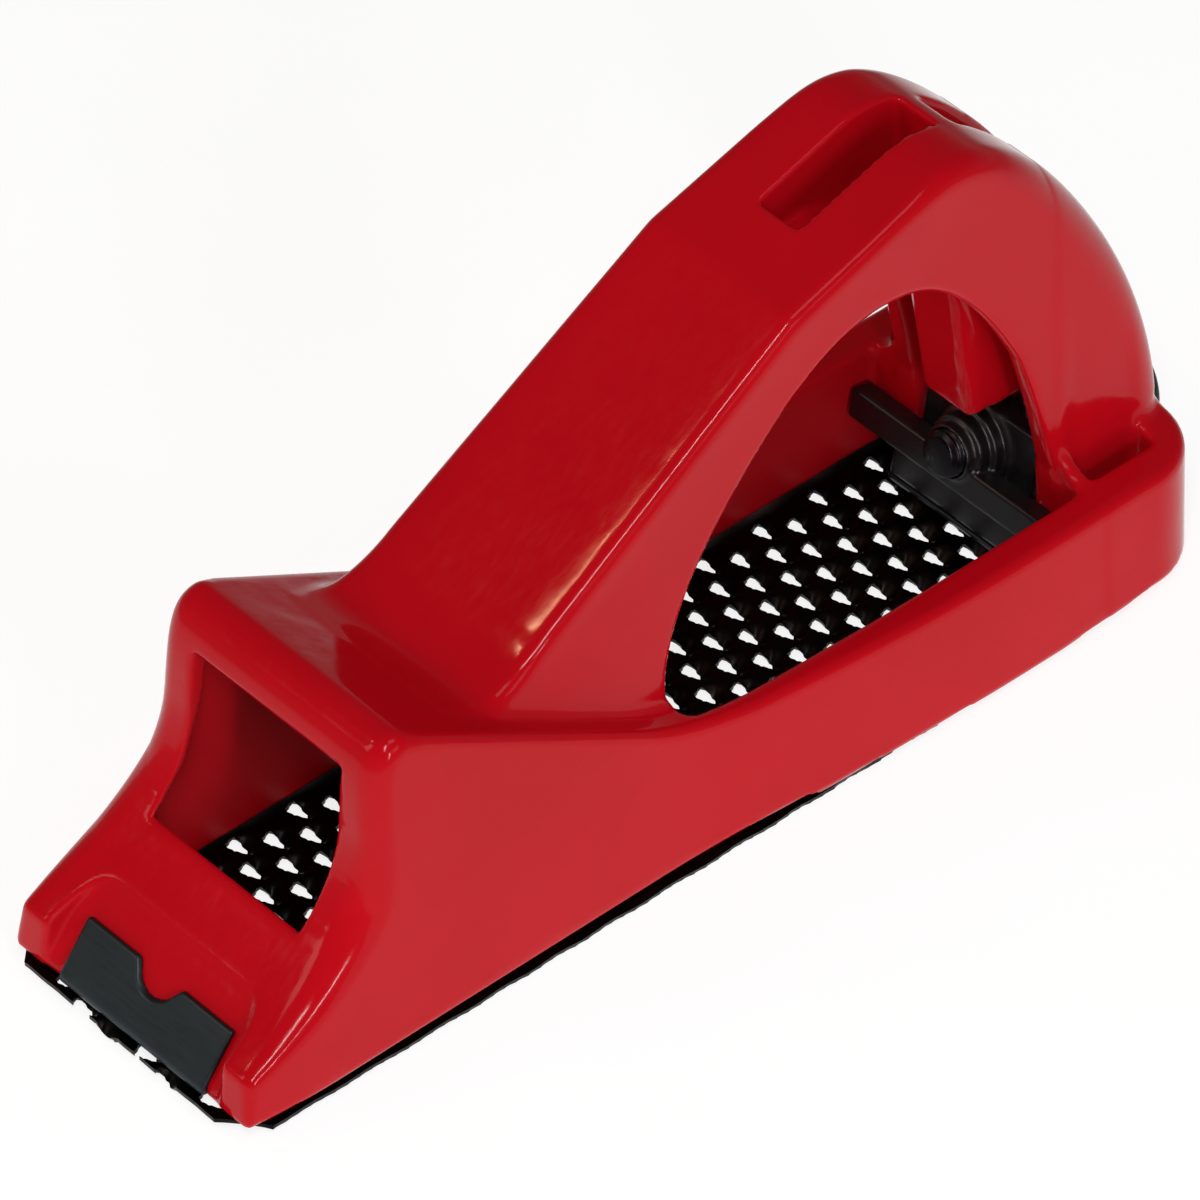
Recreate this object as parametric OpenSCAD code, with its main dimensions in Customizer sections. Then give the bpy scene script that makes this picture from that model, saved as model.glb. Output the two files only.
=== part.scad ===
// Drywall plane: a moulded body with an arched grip, a perforated rasp blade hooked over the sole,
// and a cross bar at the heel that a screw draws back to keep the blade tight.
// Stations are distances behind the front of the body, heights are above the sole of the body.

/* [Body] */
// Length of the moulded body from the horns to the heel
body_l = 148; // [147:0.5:150]
// Width across the nose at the sole
nose_w = 41; // [40:0.5:43]
// Width across the heel at the sole
heel_w = 46.4; // [45:0.2:49]
// Height of the top edge of the nose above the sole
nose_h = 42; // [40:0.2:43]
// Height of the side rails at the heel
rail_h = 16; // [15:0.5:17]
// Width between the rails
tub_w = 35; // [34:0.5:36]
// Height of the highest point of the grip above the sole
grip_h = 70.4; // [68:0.2:72]
// Width of the grip where the ramp turns into the top
grip_w = 25; // [23:0.5:27]
// Thickness of the hollow walls
wall = 3; // [2.4:0.1:3.4]

/* [Openings] */
// Width of the chip window in the nose
window_w = 25.2; // [22:0.2:27]
// Width of the cored slot in the top of the grip
slot_w = 6.6; // [5:0.2:7]
// Length of the cored slot in the top of the grip
slot_l = 21.2; // [16:0.2:21.6]
// Width of the recess between the horns
recess_w = 30; // [27:0.5:31]

/* [Blade] */
// Length of the rasp blade
blade_l = 140; // [139:0.5:141]
// Width of the rasp blade
blade_w = 42.5; // [40:0.5:43]
// Thickness of the blade sheet
blade_t = 0.6; // [0.5:0.1:0.8]
// Distance from hole to hole along one line of holes
hole_step = 9; // [8.6:0.1:9.6]
// Distance between neighbouring lines of holes
line_step = 2.1; // [2:0.02:2.4]
// How far each line of holes is set back from its neighbour
line_shift = 3.75; // [3.4:0.05:4]
// Length of one hole
hole_l = 2.6; // [2:0.1:3]
// Depth of one tooth below the sheet
tooth_h = 1.7; // [0.8:0.1:1.8]

/* [Blade hooks] */
// Width of each hook plate
hook_w = 25; // [22:0.5:26]
// Thickness of each hook plate
hook_t = 0.8; // [0.6:0.1:0.9]
// Height of the top edge of a hook above the sole
hook_h = 7.3; // [6:0.1:7.6]
// Angle between a hook and the blade
hook_lean = 53; // [52:1:56]

/* [Tensioner] */
// Outer diameter of the tension screw
screw_d = 6; // [5:0.5:6]
// Diameter of the screw's head
head_d = 13; // [11:0.5:13]
// Height of the screw's head
head_h = 4.6; // [3:0.1:5]
// Slope of the screw, down towards the heel
screw_tilt = 10; // [9:0.5:11]
// Height of the screw's tip above the sole
tip_h = 13.4; // [13:0.1:14]
// Length of the cross bar
bar_l = 34; // [32:0.5:34]
// Radial play of the screw in its nut
play = 0.05; // [0.03:0.01:0.1]

/* [Hidden] */

$fn = 40;
overlap = 1;
big = 200;

// Heights of the sole above the floor, and of the blade under it
sole_z = blade_t + tooth_h;
blade_front = -2;
blade_back = blade_front + blade_l;

// Screw line, from the tip at the front to the head behind the heel
tip_s = 123.5;
washer_t = 1;
seat_s = body_l - 0.4;
screw_cos = cos(screw_tilt);
seat_run = (seat_s - tip_s) / screw_cos;
washer_gap = 0.1;
shank_l = seat_run + washer_t + washer_gap;
head_round = 2.4;
head_back = tip_s + (shank_l + head_h) * screw_cos + (head_d / 2 - head_round) * sin(screw_tilt);

// The part is centred on its own length
front_x = (head_back + blade_front) / 2;
function at(s) = front_x - s;

// A cubic curve with n steps, without its first point where it follows another curve
function mix(a, b, t) = a + (b - a) * t;
function bend(p, t) =
    let (a = mix(p[0], p[1], t), b = mix(p[1], p[2], t), c = mix(p[2], p[3], t))
    mix(mix(a, b, t), mix(b, c, t), t);
function curve(p, n, first = 1) = [for (i = [first:n]) bend(p, i / n)];

// Outline points given as [station, height] turned into the X and Z of the part
function placed(pts) = [for (p = pts) [at(p[0]), p[1]]];

// A slab that spans the width w, with a side outline of stations and heights
module slab(pts, w) {
    rotate([90, 0, 0]) linear_extrude(w, center = true) polygon(placed(pts));
}

// A closed skin over rings that all have the same number of points
module skin(rings) {
    n = len(rings[0]);
    m = len(rings);
    points = [for (r = rings) each r];
    sides = [for (j = [0:m - 2], i = [0:n - 1])
        let (k = (i + 1) % n, a = j * n + i, b = j * n + k, c = a + n, d = b + n)
        each [[a, b, d], [a, d, c]]];
    first = [for (i = [0:n - 1]) n - 1 - i];
    last = [for (i = [0:n - 1]) m * n - n + i];
    polyhedron(points, concat([first], sides, [last]), convexity = 8);
}

// How far a corner of radius r draws a surface in, at the distance d from the edge
function drawn_in(r, d) = d >= r ? 0 : r - sqrt(r * r - (r - max(d, 0)) * (r - max(d, 0)));

// One ring across the part, from its points [half width, height] on one side, low end first
function ring(s, side) = concat([for (p = side) [at(s), p[0], p[1]]],
                                [for (i = [len(side) - 1:-1:0]) [at(s), -side[i][0], side[i][1]]]);

// Base of the body: nose, sloping deck and rails
heel_r = 10.5;
heel_s = body_l - heel_r;
side_draft = 0.058;
function half_width(s) =
    lookup(s, [[0, nose_w / 2 - 0.5], [1.2, nose_w / 2], [8, nose_w / 2 + 0.5], [66, nose_w / 2 + 0.2],
               [89, mix(nose_w, heel_w, 0.55) / 2], [112, heel_w / 2], [body_l, heel_w / 2]])
    - drawn_in(heel_r, body_l - s);
deck_foot = [60, 22];
nose_line = concat(
    curve([[0, 6.2], [9.8, 11.8], [19.8, 18.8], [19.8, 30]], 9, 0),
    curve([[19.8, 30], [20.2, 36.5], [20.2, nose_h + 0.4], [25.6, nose_h]], 5));
heel_line = [for (a = [0:15:75]) [heel_s + heel_r * sin(a), rail_h]];
base_top = concat(
    nose_line,
    [for (t = [0.33, 0.66, 1]) mix([25.6, nose_h], deck_foot, t)],
    curve([deck_foot, [64, 19.7], [68, rail_h + 2], [78, rail_h + 1]], 4),
    [[89, rail_h + 0.5], [100, rail_h], [112, rail_h], [125, rail_h]],
    heel_line,
    [[body_l - 0.15, rail_h - 0.5], [body_l, rail_h - 1.2]]);

// Station of the front of the nose at a height, for the rounded upright corners
nose_by_height = [for (p = nose_line) [p[1], p[0]]];
function nose_front(z) = z < 12 ? -10 : lookup(z, nose_by_height);
function corner_r(z) = lookup(z, [[18, 4.8], [32, 2.8]]);
function rim_r(s) = lookup(s, [[0, 2.2], [10, 3.8], [18, 3.8], [26, 1.6], [60, 1.6], [72, 1.3], [body_l, 1.3]]);
levels = [0, 0.24, 0.46, 0.66, 0.82, 0.91, 0.96, 0.985, 1];
function base_side(s, top) = [for (f = levels) let (z = f * top)
    [half_width(s) - side_draft * z - drawn_in(rim_r(s), top - z)
     - drawn_in(corner_r(z), s - nose_front(min(z, nose_h - 4))), z]];

module base_outside() {
    skin([for (p = base_top) ring(p[0], base_side(p[0], p[1]))]);
}

// Tub: open at the sole, closed by the deck at the front and open upwards between the rails.
// Behind the web that ties each leg wall to its rail, only its lower part goes on to the heel.
tub_front = 12;
tub_back = 141;
deck_end = 71;
web_s = 129.6;
web_t = 2;
leg_low = 9;
tub_profile = [[tub_front, -overlap], [tub_front, 4], [17, 14.5], [22, 21], [23.6, 30],
               [24.4, nose_h - wall - 1.2], [27, nose_h - wall - 1], [deck_foot[0] - 2, deck_foot[1] - wall],
               [68, 14.6], [deck_end, 14.2], [deck_end, nose_h], [web_s, nose_h], [web_s, leg_low],
               [tub_back, leg_low], [tub_back, -overlap]];
module tub() {
    slab(tub_profile, tub_w);
}

// Pockets beside the rear leg, cut through the hollow curve that joins the leg to the rails
pocket_y = [13.2, tub_w / 2 - 0.2];
pocket_s = [web_s + web_t, 142];
pocket_r = 1.4;
pocket_low = leg_low + 1.6;
module pockets() {
    w = pocket_y[1] - pocket_y[0];
    l = pocket_s[1] - pocket_s[0];
    for (side = [-1, 1])
        translate([at(pocket_s[1]), side * (pocket_y[0] + w / 2) - w / 2, pocket_low])
            linear_extrude(nose_h) {
                translate([pocket_r, 0]) square([l - 2 * pocket_r, w]);
                translate([0, pocket_r]) square([l, w - 2 * pocket_r]);
                for (x = [pocket_r, l - pocket_r], y = [pocket_r, w - pocket_r])
                    translate([x, y]) circle(pocket_r);
            }
}
flare_r = 5.5;
module flares() {
    low = rail_h - 0.8;
    out = tub_w / 2 + 0.3;
    side_pts = concat([[10, low]], [for (a = [15:15:75])
        [out + 0.5 - flare_r * cos(a) * 0.9, low + flare_r * (1.1 - sin(a))]], [[10, low + flare_r]]);
    for (side = [-1, 1]) translate([at(heel_s + 6), 0, 0]) rotate([90, 0, 90])
        linear_extrude(heel_s + 5.6 - web_s) polygon([for (p = side_pts) [side * p[0], p[1]]]);
}

// Grip: ramp, top and rounded spine, drawn as one arch that is then opened
ramp_foot = [50, 38.1];
ramp_end = [88.5, grip_h - 7.8];
top_end = [110, grip_h - 1.1];
spine_foot = [body_l - 1.96, 11.8];
grip_top = concat(
    curve([[35, 35.9], [40, 33.2], [44, 33.7], ramp_foot], 5, 0),
    [mix(ramp_foot, ramp_end, 0.5), mix(ramp_foot, ramp_end, 0.97)],
    [mix(ramp_end, top_end, 0.06), mix(ramp_end, top_end, 0.5)],
    curve([[106.5, grip_h - 2], [111, grip_h - 0.6], [113.5, grip_h + 0.2], [118, grip_h - 1.2]], 4, 0),
    curve([[118, grip_h - 1.1], [128.2, 65.4], [body_l - 2.6, 43.6], [body_l - 0.1, 19]], 12),
    [spine_foot]);
function grip_half(s) = lookup(s, [[35, grip_w / 2 + 1.4], [ramp_foot[0], grip_w / 2 + 1.1],
                                   [ramp_end[0], grip_w / 2], [116, grip_w / 2 - 0.6],
                                   [135, grip_w / 2 - 0.4], [body_l, grip_w / 2]]);
function grip_low(s) = lookup(s, [[35, 33.6], [ramp_foot[0], 24], [60, 18], [70, 12], [82, 9], [body_l, 9]]);
function grip_foot(s) = min(half_width(s) - 1, lookup(s, [[35, 16.8], [60, 15.9], [82, 14.8], [112, 14.2],
                                                          [body_l, 14]]));
function grip_rim(s) = lookup(s, [[35, 1.8], [ramp_end[0], 1.9], [108, 1.9], [118, 3.2], [128, 5.5],
                                  [138, 8.6], [144, 7.5], [body_l, 4.5]]);
function grip_side(s, top) = let (low = grip_low(s), high = grip_half(s))
    concat([[grip_foot(s), low]],
           [for (f = [0.4, 0.8, 0.9, 0.95, 0.98, 1]) let (z = mix(low, top, f))
               [min(grip_foot(s), mix(grip_foot(s), high, min(1, 1.25 * f))) - drawn_in(grip_rim(s), top - z), z]]);
module grip_outside() {
    skin([for (p = grip_top) ring(p[0], grip_side(p[0], p[1]))]);
}

// Finger window through the grip, open downwards into the tub
finger_top = grip_h - 12.8;
window_foot = 9;
finger_window = concat(
    [[71.4, -big], [71.4, 14.2], [69.2, 16.4]],
    curve([[67.4, 20], [67.4, 30], [77, 42.5], [88, finger_top - 5.2]], 7, 0),
    curve([[88, finger_top - 5.2], [94, finger_top - 0.6], [100, finger_top + 1.9],
           [107, finger_top - 0.2]], 5),
    curve([[107, finger_top - 0.2], [114.5, finger_top - 2.6], [119.5, 46], [124, 36.4]], 7),
    curve([[124, 36.4], [126.4, 29], [128.8, 20], [130.4, window_foot]], 4),
    [[130.4, -big]]);

// Hollow of the front leg, under the ramp
front_hollow = [[ramp_foot[0] - 3, -big], [ramp_foot[0] - 3, 31.5], [85, 54.8], [90, 50], [80, -big]];

// Hollow of the rear leg, on both sides of the post that carries the channel behind it
post_w = 10;
post_low = 21;
rear_hollow = [[116, -big], [116, 48], [121, 56.5], [127, 56.5], [133, 51], [138, 42], [140.4, 31],
               [140.4, -big]];
post = [[124.4, post_low], [120.2, 46], [117, 70], [160, 70], [160, post_low]];
post_edge = 2;
module post_solid() {
    slab([for (p = post) p + [p[0] < 130 ? post_edge : 0, 0]], post_w);
    slab(post, post_w - 2 * post_edge);
}
module grip() {
    difference() {
        grip_outside();
        difference() {
            slab(finger_window, big);
            post_solid();
        }
    }
}
module leg_hollows() {
    slab(front_hollow, 2 * (grip_half(ramp_foot[0]) - wall));
    difference() {
        slab(rear_hollow, grip_w - 2 * wall + 1);
        post_solid();
    }
}

// Cored slot in the top, and the channel that runs down the spine behind it
slot_s = 97.4;
slot_end = slot_s + slot_l;
core_w = 6;
module slot() {
    slab([[slot_s, big], [slot_s, finger_top + 1.8], [slot_s + 6.5, finger_top + 2.6],
          [slot_s + 14, finger_top - 0.6], [slot_end, finger_top - 5], [slot_end, big]], slot_w);
}
module channel() {
    slab([[slot_end + wall, big], [slot_end + wall, 53], [122.9, 46], [126.8, post_low + 3],
          [body_l + 5, post_low + 3], [body_l + 5, big]], core_w);
}

// Chip window in the front of the nose
window_low = 15.7;
window_high = nose_h - 3.7;
module chip_window() {
    slab([[5, window_low], [5, window_high], [26, window_high], [26, window_low]], window_w);
}

// Recess between the horns: a leaning nose face for the hook, a small ledge and a back wall
lean_run = 1 / tan(hook_lean);
hook_foot_s = blade_front + 0.1;
inner_s = hook_foot_s + hook_t / sin(hook_lean);
function lean_face(z) = inner_s + z * lean_run;
ledge_z = 8.4;
back_wall = [[7.2, 9.2], [7.6, 14]];
recess_r = 7;
module recess() {
    depth = 12;
    intersection() {
        slab(concat([[-3, -overlap], [lean_face(-overlap), -overlap], [lean_face(ledge_z), ledge_z],
                     [6, ledge_z + 0.2]], back_wall, [[-3, 14]]), recess_w + 2 * overlap);
        translate([at(depth), 0, 0]) rotate([90, 0, 90]) linear_extrude(depth + 5) {
            translate([-recess_w / 2, -2 * overlap]) square([recess_w, ledge_z - 2.8]);
            translate([recess_r - recess_w / 2, -overlap])
                square([recess_w - 2 * recess_r, ledge_z + 5.4]);
            for (side = [-1, 1])
                translate([side * (recess_w / 2 - recess_r), ledge_z - 3.2]) circle(recess_r);
        }
    }
}

// Flat seats in the sole for the feet of the two hooks
foot_l = 11;
seat_play = 0.1;
module foot_seat() {
    w = hook_w + 2 * seat_play;
    length = foot_l + 2 * seat_play;
    translate([at(hook_foot_s + length), -w / 2, -overlap]) cube([length, w, hook_t + overlap]);
}

// Frame along the screw: origin at the tip, X running back and down to the head
module along_screw() {
    translate([at(tip_s), 0, tip_h]) rotate([0, screw_tilt, 180]) children();
}

bore_r = screw_d / 2 + 0.4;
washer_d = head_d - 0.6;
module screw_passage() {
    along_screw() rotate([0, 90, 0]) {
        cylinder(h = seat_run + 10, r = bore_r);
        translate([0, 0, seat_run]) cylinder(h = 10, r = washer_d / 2 + 0.5);
    }
}

module body() {
    color("crimson") translate([0, 0, sole_z]) difference() {
        union() {
            difference() {
                base_outside();
                tub();
            }
            grip();
            flares();
        }
        pockets();
        leg_hollows();
        chip_window();
        slot();
        channel();
        recess();
        foot_seat();
        screw_passage();
    }
}

// Blade: staggered, slightly skewed lines of drop-shaped holes, each with a tooth on its rear rim
corner_cut = 4.7;
tip_land = 0.25;
hole_w = 2.3;
margin = 1.1;
lines = floor((blade_w / 2 - margin - hole_w / 2) / line_step);
hole_origin = [0.4, -0.4];
function wrap(v, m) = v - m * floor(v / m);
hole_places = [for (j = [-lines:lines])
    let (start = wrap(hole_origin[0] + line_shift * j, hole_step), y = hole_origin[1] + line_step * j)
    if (abs(y) + hole_w / 2 + margin / 2 < blade_w / 2)
    each [for (s = [start:hole_step:blade_back - hole_l - 1]) [s, y]]];
function from_end(s) = min(s - blade_front, blade_back - s);
function clear_of_weld(p) =
    abs(p[1]) > hook_w / 2 || from_end(p[0]) > foot_l + hole_l / 2;
function in_sheet(p) = from_end(p[0]) + (blade_w / 2 - abs(p[1])) > corner_cut + hole_l;
holes = [for (p = hole_places) if (clear_of_weld(p) && in_sheet(p)) p];
module blade_outline() {
    w = blade_w / 2;
    polygon([[at(blade_front), corner_cut - w], [at(blade_front), w - corner_cut],
             [at(blade_front + corner_cut), w], [at(blade_back - corner_cut), w],
             [at(blade_back), w - corner_cut], [at(blade_back), corner_cut - w],
             [at(blade_back - corner_cut), -w], [at(blade_front + corner_cut), -w]]);
}
module hole(p) {
    translate([at(p[0]), p[1], -blade_t - overlap]) linear_extrude(blade_t + 2 * overlap)
        polygon([[hole_l * 0.6, 0], [-hole_l * 0.4, hole_w / 2], [-hole_l * 0.4, -hole_w / 2]]);
}
module tooth(p) {
    length = 1.9;
    width = 1.1;
    rim = 0.1;
    front = p[0] + hole_l * 0.4 + rim;
    translate([0, p[1], 0]) rotate([90, 0, 0]) linear_extrude(width, center = true)
        polygon([[at(front + length), -blade_t / 2], [at(front), -blade_t / 2],
                 [at(front), -blade_t - tooth_h], [at(front + tip_land), -blade_t - tooth_h]]);
}
module blade_sheet() {
    color([0.12, 0.12, 0.12]) translate([0, 0, sole_z]) {
        difference() {
            translate([0, 0, -blade_t]) linear_extrude(blade_t) blade_outline();
            for (p = holes) hole(p);
        }
        for (p = holes) tooth(p);
    }
}

// Hook plate: a foot along the blade and a leaning tab with a half-round notch in its top edge
notch_r = 3.2;
notch_mouth = 7.8;
notch_flare = 1.3;
hook_side = [[hook_foot_s, 0], [hook_foot_s + foot_l, 0], [hook_foot_s + foot_l, hook_t],
             [lean_face(hook_t), hook_t], [lean_face(hook_h - 0.3), hook_h - 0.3],
             [hook_foot_s + hook_h * lean_run, hook_h], [hook_foot_s + 0.3, 0.5]];
module hook() {
    difference() {
        slab(hook_side, hook_w);
        translate([at(hook_foot_s + hook_h * lean_run), 0, hook_h]) rotate([0, hook_lean, 0]) {
            cylinder(h = 4 * hook_t, r = notch_r, center = true);
            linear_extrude(4 * hook_t, center = true)
                polygon([[-overlap, -notch_mouth / 2], [0, -notch_mouth / 2], [notch_flare, 0.3 - notch_r],
                         [notch_flare, notch_r - 0.3], [0, notch_mouth / 2], [-overlap, notch_mouth / 2]]);
        }
    }
}
module front_hook() {
    color([0.18, 0.2, 0.21]) translate([0, 0, sole_z]) hook();
}
module rear_hook() {
    middle = at((blade_front + blade_back) / 2);
    color([0.18, 0.2, 0.21]) translate([0, 0, sole_z]) translate([middle, 0, 0]) mirror([1, 0, 0])
        translate([-middle, 0, 0]) hook();
}

// Cross bar: a rib from rail to rail, an upright plate, a wedge foot under the rear hook, and a boss
rib_s = [2.2, 5.2];
rib_z = [-6.1, -1.1];
plate_s = [6.6, 9];
plate_w = grip_w - 2 * wall - 0.4;
plate_z = [-10.4, 5.2];
nut_r = 3.9;
nut_l = 5;
nut_s = 5.2;
foot_gap = 0.15;
function rear_face(z) = blade_front + blade_back - lean_face(z) - foot_gap / sin(hook_lean);
module bar_box(s, w, z) {
    translate([s[0], -w / 2, z[0]]) cube([s[1] - s[0], w, z[1] - z[0]]);
}
module tension_bar() {
    foot_low = hook_t + foot_gap;
    foot_high = 6.6;
    color([0.09, 0.09, 0.1]) translate([0, 0, sole_z]) difference() {
        union() {
            along_screw() {
                bar_box(rib_s, bar_l, rib_z);
                bar_box(plate_s, plate_w, plate_z);
                rotate([0, 90, 0]) rotate_extrude()
                    polygon([[0, 1.2], [3.4, 1.2], [3.6, 1.4], [3.6, 2.6], [4.2, 2.8], [4.2, 4.4],
                             [4.9, 4.6], [4.9, 6], [5.7, 6.2], [5.7, 10], [0, 10]]);
            }
            slab([[127, foot_low], [rear_face(foot_low), foot_low], [rear_face(foot_high), foot_high],
                  [128.2, foot_high]], hook_w - 1);
        }
        along_screw() rotate([0, 90, 0]) {
            cylinder(h = 20, r = screw_d / 2 + 2 * play);
            translate([0, 0, nut_s]) cylinder(h = 20, r = nut_r);
        }
    }
}
module bar_nut() {
    color([0.45, 0.42, 0.36]) translate([0, 0, sole_z]) along_screw() rotate([0, 90, 0])
        translate([0, 0, nut_s]) difference() {
            cylinder(h = nut_l, r = nut_r);
            translate([0, 0, -overlap]) cylinder(h = nut_l + 2 * overlap, r = screw_d / 2 + play);
        }
}

// Screw: chamfered tip, shank and a slotted pan head
slot_depth = 1.6;
drive_w = 1.6;
module tension_screw() {
    r = screw_d / 2;
    rim = head_d / 2;
    color([0.13, 0.13, 0.14]) translate([0, 0, sole_z]) along_screw() difference() {
        rotate([0, 90, 0]) rotate_extrude()
            polygon(concat([[0, 0], [r - 0.5, 0], [r, 0.5], [r, shank_l], [rim, shank_l],
                            [rim, shank_l + head_h - head_round]],
                           [for (a = [30:30:90]) [rim - head_round * (1 - cos(a)),
                                                  shank_l + head_h - head_round * (1 - sin(a))]],
                           [[0, shank_l + head_h]]));
        translate([shank_l + head_h - slot_depth, -rim - 1, -drive_w / 2])
            cube([slot_depth + 1, head_d + 2, drive_w]);
    }
}
module screw_washer() {
    color([0.5, 0.5, 0.5]) translate([0, 0, sole_z]) along_screw() rotate([0, 90, 0])
        translate([0, 0, seat_run + washer_gap]) difference() {
            cylinder(h = washer_t, r = washer_d / 2);
            translate([0, 0, -overlap]) cylinder(h = washer_t + 2 * overlap, r = screw_d / 2 + 0.2);
        }
}

body();
blade_sheet();
front_hook();
rear_hook();
tension_bar();
bar_nut();
tension_screw();
screw_washer();
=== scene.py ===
"""Looks of the drywall plane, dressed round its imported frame.

Shapes are worked out in millimetres as (station, side, height): the station runs back from the front
of the body, the side is the same on both hands, and the height starts at the sole of the body.
"""

import copy
import math

import bmesh
import bpy
import numpy as np
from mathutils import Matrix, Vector


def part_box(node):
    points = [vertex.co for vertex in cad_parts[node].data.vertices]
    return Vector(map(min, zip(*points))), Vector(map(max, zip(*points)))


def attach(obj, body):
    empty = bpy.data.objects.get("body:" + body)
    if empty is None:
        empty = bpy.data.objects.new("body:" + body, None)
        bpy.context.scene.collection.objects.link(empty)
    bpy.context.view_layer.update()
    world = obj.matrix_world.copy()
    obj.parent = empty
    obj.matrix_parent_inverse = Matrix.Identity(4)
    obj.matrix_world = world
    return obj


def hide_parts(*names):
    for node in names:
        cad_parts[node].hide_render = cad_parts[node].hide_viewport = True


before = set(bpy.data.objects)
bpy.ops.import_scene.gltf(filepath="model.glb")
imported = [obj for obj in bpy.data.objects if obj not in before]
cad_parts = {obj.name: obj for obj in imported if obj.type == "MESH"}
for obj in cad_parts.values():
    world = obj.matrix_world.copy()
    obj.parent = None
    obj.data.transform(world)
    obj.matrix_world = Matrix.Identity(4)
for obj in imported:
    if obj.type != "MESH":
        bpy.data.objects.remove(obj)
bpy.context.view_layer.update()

MM = 0.001
SHARP_ANGLE = math.radians(50)
body_low, body_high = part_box("body")
FRONT_X = body_high[0] / MM
SOLE_Z = body_low[2] / MM


# Curves and outlines
def lookup(x, pairs):
    """Straight lines between pairs of numbers."""
    return np.interp(x, [p[0] for p in pairs], [p[1] for p in pairs])


def eased(x, pairs, reach):
    """A lookup with its corners rounded off over the distance reach."""
    return np.mean([lookup(x + reach * k, pairs) for k in np.linspace(-1, 1, 9)], axis=0)


def curve(p, steps=30):
    """Points on a cubic curve with four control points."""
    t = np.linspace(0, 1, steps + 1)[:, None]
    a, b, c, d = (np.array(q, float) for q in p)
    return [tuple(q) for q in (1 - t) ** 3 * a + 3 * (1 - t) ** 2 * t * b + 3 * (1 - t) * t**2 * c + t**3 * d]


def softened(points, radii, arc_points=7):
    """A closed outline with an arc-like curve at each corner that has a radius."""
    out = []
    n = len(points)
    for i, (point, radius) in enumerate(zip(points, radii)):
        if not radius:
            out.append(tuple(point))
            continue
        p = np.array(point, float)
        before = np.array(points[i - 1], float) - p
        after = np.array(points[(i + 1) % n], float) - p
        u, v = before / np.linalg.norm(before), after / np.linalg.norm(after)
        reach = radius / math.tan(math.acos(float(np.clip(u @ v, -1, 1))) / 2)
        for t in np.linspace(0, 1, arc_points):
            out.append(tuple(p + (1 - t) ** 2 * reach * u + t**2 * reach * v))
    return out


def outline(points, a, b):
    """Distance from each place (a, b) to a closed outline, negative inside it."""
    best = np.full(np.broadcast(a, b).shape, 1e9, np.float32)
    inside = np.zeros(best.shape, bool)
    for (p0, p1), (q0, q1) in zip(points, points[1:] + points[:1]):
        e0, e1 = q0 - p0, q1 - p1
        length = e0 * e0 + e1 * e1
        if length < 1e-12:
            continue
        t = np.clip(((a - p0) * e0 + (b - p1) * e1) / length, 0, 1)
        best = np.minimum(best, (a - p0 - t * e0) ** 2 + (b - p1 - t * e1) ** 2)
        if p1 != q1:
            inside ^= ((p1 > b) != (q1 > b)) & (a < p0 + (b - p1) * e0 / (q1 - p1))
    return np.where(inside, -np.sqrt(best), np.sqrt(best)).astype(np.float32)


def blurred(flat, width, reach=3):
    """A sheet of distances blurred by a bell curve some steps wide, which rounds off its corners."""
    weights = np.exp(-0.5 * (np.arange(-reach, reach + 1) / width) ** 2)
    for axis in (0, 1):
        wide = np.pad(flat, [(reach, reach) if k == axis else (0, 0) for k in (0, 1)], mode="edge")
        count = flat.shape[axis]
        parts = [w * np.take(wide, np.arange(i, i + count), axis) for i, w in enumerate(weights)]
        flat = (sum(parts) / weights.sum()).astype(np.float32)
    return flat


# Shapes, each a distance that is negative inside it
def both(a, b, r):
    """What lies in a and in b, with the edge between them rounded to the radius r."""
    edge = np.sqrt(np.maximum(a + r, 0) ** 2 + np.maximum(b + r, 0) ** 2)
    return np.minimum(-r, np.maximum(a, b)) + edge


def joined(a, b, r):
    """What lies in a or in b, with a fillet of the radius r between them."""
    edge = np.sqrt(np.maximum(r - a, 0) ** 2 + np.maximum(r - b, 0) ** 2)
    return np.maximum(r, np.minimum(a, b)) - edge


def cut(a, b, r):
    """a without b, with the rim rounded to the radius r."""
    return both(a, -b, r)


class Block:
    """A grid of places over half of the part, in which shapes are distances."""

    def __init__(self, stations, side, heights, step):
        self.step = step
        self.low = np.array([stations[0], 0, heights[0]])
        self.s = np.arange(stations[0], stations[1], step, dtype=np.float32)[:, None, None]
        self.y = np.arange(0, side, step, dtype=np.float32)[None, :, None]
        self.z = np.arange(heights[0], heights[1], step, dtype=np.float32)[None, None, :]

    def profile(self, points, blur=0):
        """An outline seen from the side, of stations and heights, which a blur rounds off."""
        flat = outline(points, self.s[:, 0], self.z[0])
        return (blurred(flat, blur) if blur else flat)[:, None, :]

    def plan(self, points):
        """An outline seen from above, of stations and sides."""
        return outline(points, self.s[:, :, 0], self.y[:, :, 0])[:, :, None]

    def front(self, points):
        """An outline seen from the front, of sides and heights."""
        return outline(points, self.y[0], self.z[0])[None]

    def slab(self, points, half, r=0.5):
        """A profile that spans the part from -half to half."""
        return both(self.profile(points), self.y - half, r)


# Skins of shapes
def sample(fields, places):
    """The values of fields at places given in steps of their grid."""
    top = np.array(fields[0].shape) - 1.001
    p = np.clip(places, 0, top)
    i = p.astype(np.int32)
    f = (p - i).astype(np.float32)
    out = [np.zeros(len(p), np.float32) for _ in fields]
    for corner in np.ndindex(2, 2, 2):
        w = np.prod([f[:, k] if corner[k] else 1 - f[:, k] for k in range(3)], axis=0)
        at = tuple(i[:, k] + corner[k] for k in range(3))
        for total, field in zip(out, fields):
            total += w * field[at]
    return out


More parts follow.
